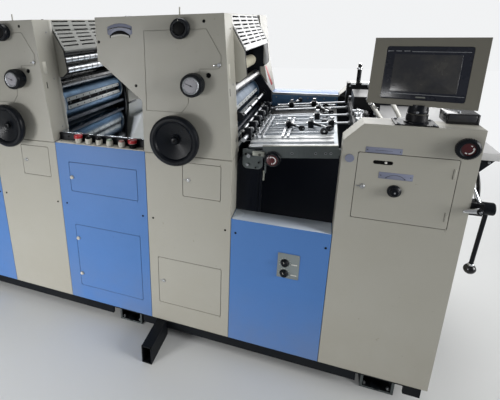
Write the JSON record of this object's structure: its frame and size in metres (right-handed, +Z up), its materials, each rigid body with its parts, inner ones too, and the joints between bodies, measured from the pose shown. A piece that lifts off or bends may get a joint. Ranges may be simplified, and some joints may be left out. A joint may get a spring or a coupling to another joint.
{
  "type": "offset printing press",
  "caption": "Sheet-fed offset printing press with two printing units, a feed board, an operator console with a screen, and plain blue bays between cream covers.",
  "frame": {"origin": "on the floor, under the middle of the centre foot at mid-depth of the covers", "axes": "+X along the machine towards the feeder, +Y from the operator side to the drive side, +Z up"},
  "size_m": [2.899, 1.24, 1.612],
  "materials": {
    "cream_paint": "satin sprayed paint, warm cream grey",
    "pale_paint": "satin sprayed paint, paler cream",
    "blue_paint": "satin sprayed paint, sky blue",
    "grey_paint": "satin paint, mid grey",
    "white_paint": "satin paint, white",
    "black_paint": "semi-gloss black paint",
    "dark_steel": "dull dark grey paint",
    "frame_casting": "cast plate, dark painted",
    "ground_steel": "ground steel",
    "bright_steel": "brushed plated steel",
    "polished_steel": "polished plated steel",
    "blue_blanket": "smooth blue-grey blanket",
    "roller_rubber": "smooth dark ink roller rubber",
    "black_plastic": "moulded black plastic",
    "board_metal": "painted steel board"
  },
  "bodies": {
    "press_body": {"base_frame": "dark_steel", "transverse_feet": "dark_steel", "support_tube": "dark_steel", "side_frames": "frame_casting", "unit1_upper_cover": "cream_paint", "unit1_lower_cover": "cream_paint", "unit2_upper_cover": "cream_paint", "unit2_lower_cover": "cream_paint", "rear_covers": "cream_paint", "operator_console": "cream_paint", "feeder_rear_cabinet": "cream_paint", "delivery_cabinets": "cream_paint", "top_covers": "pale_paint", "unit1_ink_guard": "grey_paint", "unit2_ink_guard": "white_paint", "mid_panel": "blue_paint", "bay_panels": "blue_paint", "rear_panels": "blue_paint", "button_ledge": "pale_paint", "sheet_plate": "polished_steel", "monitor_post": "black_plastic", "feed_board": "bright_steel", "hold_down_rods": "polished_steel", "feeder_head": "black_paint", "feeder_pile_board": "board_metal", "delivery_pile_board": "board_metal", "delivery_rails": "dark_steel", "ink_rollers": "roller_rubber", "lever_bracket": "black_paint"},
    "monitor": {"monitor": "cream_paint"},
    "pile_lever": {"pile_lever": "black_plastic"},
    "console_door": {"console_door": "cream_paint"},
    "mid_upper_door": {"mid_upper_door": "blue_paint"},
    "mid_lower_door": {"mid_lower_door": "blue_paint"},
    "unit1_small_door": {"unit1_small_door": "cream_paint"},
    "unit2_small_door": {"unit2_small_door": "cream_paint"},
    "unit2_lower_door": {"unit2_lower_door": "cream_paint"},
    "unit1_plate_cylinder": {"unit1_plate_cylinder": "blue_blanket"},
    "unit1_blanket_cylinder": {"unit1_blanket_cylinder": "blue_blanket"},
    "unit1_impression_cylinder": {"unit1_impression_cylinder": "ground_steel"},
    "unit1_handwheel": {"unit1_handwheel": "black_plastic"},
    "unit1_top_knob": {"unit1_top_knob": "black_plastic"},
    "unit1_dial_knob": {"unit1_dial_knob": "black_plastic"},
    "unit2_plate_cylinder": {"unit2_plate_cylinder": "blue_blanket"},
    "unit2_blanket_cylinder": {"unit2_blanket_cylinder": "blue_blanket"},
    "unit2_impression_cylinder": {"unit2_impression_cylinder": "ground_steel"},
    "unit2_handwheel": {"unit2_handwheel": "black_plastic"},
    "unit2_top_knob": {"unit2_top_knob": "black_plastic"},
    "unit2_dial_knob": {"unit2_dial_knob": "black_plastic"}
  },
  "joints": [
    {"name": "unit2_impression_spin", "type": "hinge", "parent": "press_body", "child": "unit2_impression_cylinder", "pos_m": [0.325, 0, 0.752], "axis": [0, 1, 0], "continuous": true},
    {"name": "unit2_blanket_spin", "type": "hinge", "parent": "press_body", "child": "unit2_blanket_cylinder", "pos_m": [0.39, 0, 0.95], "axis": [0, 1, 0], "continuous": true},
    {"name": "unit2_plate_spin", "type": "hinge", "parent": "press_body", "child": "unit2_plate_cylinder", "pos_m": [0.422, 0, 1.152], "axis": [0, 1, 0], "continuous": true},
    {"name": "unit2_handwheel_spin", "type": "hinge", "parent": "press_body", "child": "unit2_handwheel", "pos_m": [0.308, 0, 1.084], "axis": [0, 1, 0], "continuous": true},
    {"name": "unit2_top_knob_turn", "type": "hinge", "parent": "press_body", "child": "unit2_top_knob", "pos_m": [0.329, 0, 1.528], "axis": [0, 1, 0], "range_deg": [-90, 90]},
    {"name": "unit2_dial_knob_turn", "type": "hinge", "parent": "press_body", "child": "unit2_dial_knob", "pos_m": [0.382, 0, 1.314], "axis": [0, 1, 0], "range_deg": [-150, 150]},
    {"name": "unit1_impression_spin", "type": "hinge", "parent": "press_body", "child": "unit1_impression_cylinder", "pos_m": [-0.565, 0, 0.752], "axis": [0, 1, 0], "continuous": true},
    {"name": "unit1_blanket_spin", "type": "hinge", "parent": "press_body", "child": "unit1_blanket_cylinder", "pos_m": [-0.5, 0, 0.95], "axis": [0, 1, 0], "continuous": true},
    {"name": "unit1_plate_spin", "type": "hinge", "parent": "press_body", "child": "unit1_plate_cylinder", "pos_m": [-0.468, 0, 1.152], "axis": [0, 1, 0], "continuous": true},
    {"name": "unit1_handwheel_spin", "type": "hinge", "parent": "press_body", "child": "unit1_handwheel", "pos_m": [-0.582, 0, 1.084], "axis": [0, 1, 0], "continuous": true},
    {"name": "unit1_top_knob_turn", "type": "hinge", "parent": "press_body", "child": "unit1_top_knob", "pos_m": [-0.561, 0, 1.528], "axis": [0, 1, 0], "range_deg": [-90, 90]},
    {"name": "unit1_dial_knob_turn", "type": "hinge", "parent": "press_body", "child": "unit1_dial_knob", "pos_m": [-0.508, 0, 1.314], "axis": [0, 1, 0], "range_deg": [-150, 150]},
    {"name": "console_door_hinge", "type": "hinge", "parent": "press_body", "child": "console_door", "pos_m": [1.3065, -0.5235, 0.9575], "axis": [0, 0, 1], "range_deg": [0, 110]},
    {"name": "mid_upper_door_hinge", "type": "hinge", "parent": "press_body", "child": "mid_upper_door", "pos_m": [0.0925, -0.5235, 0.829], "axis": [0, 0, 1], "range_deg": [0, 110]},
    {"name": "mid_lower_door_hinge", "type": "hinge", "parent": "press_body", "child": "mid_lower_door", "pos_m": [0.0925, -0.5235, 0.375], "axis": [0, 0, 1], "range_deg": [0, 110]},
    {"name": "unit1_small_door_hinge", "type": "hinge", "parent": "press_body", "child": "unit1_small_door", "pos_m": [-0.3995, -0.5235, 0.891], "axis": [0, 0, 1], "range_deg": [0, 110]},
    {"name": "unit2_small_door_hinge", "type": "hinge", "parent": "press_body", "child": "unit2_small_door", "pos_m": [0.4905, -0.5235, 0.891], "axis": [0, 0, 1], "range_deg": [0, 110]},
    {"name": "unit2_lower_door_hinge", "type": "hinge", "parent": "press_body", "child": "unit2_lower_door", "pos_m": [0.4995, -0.5235, 0.339], "axis": [0, 0, 1], "range_deg": [0, 110]},
    {"name": "monitor_swivel", "type": "hinge", "parent": "press_body", "child": "monitor", "pos_m": [1.172, -0.473, 1.228], "axis": [0, 0, 1], "range_deg": [-35, 35]},
    {"name": "pile_lever_swing", "type": "hinge", "parent": "press_body", "child": "pile_lever", "pos_m": [1.416, -0.505, 0.919], "axis": [1, 0, 0], "range_deg": [-50, 50]}
  ],
  "couplings": [
    {"joint": "unit2_blanket_spin", "follows": "unit2_impression_spin", "ratio": -1},
    {"joint": "unit2_plate_spin", "follows": "unit2_impression_spin", "ratio": 1},
    {"joint": "unit2_handwheel_spin", "follows": "unit2_impression_spin", "ratio": -3},
    {"joint": "unit1_impression_spin", "follows": "unit2_impression_spin", "ratio": 1},
    {"joint": "unit1_blanket_spin", "follows": "unit2_impression_spin", "ratio": -1},
    {"joint": "unit1_plate_spin", "follows": "unit2_impression_spin", "ratio": 1},
    {"joint": "unit1_handwheel_spin", "follows": "unit2_impression_spin", "ratio": -3}
  ]
}
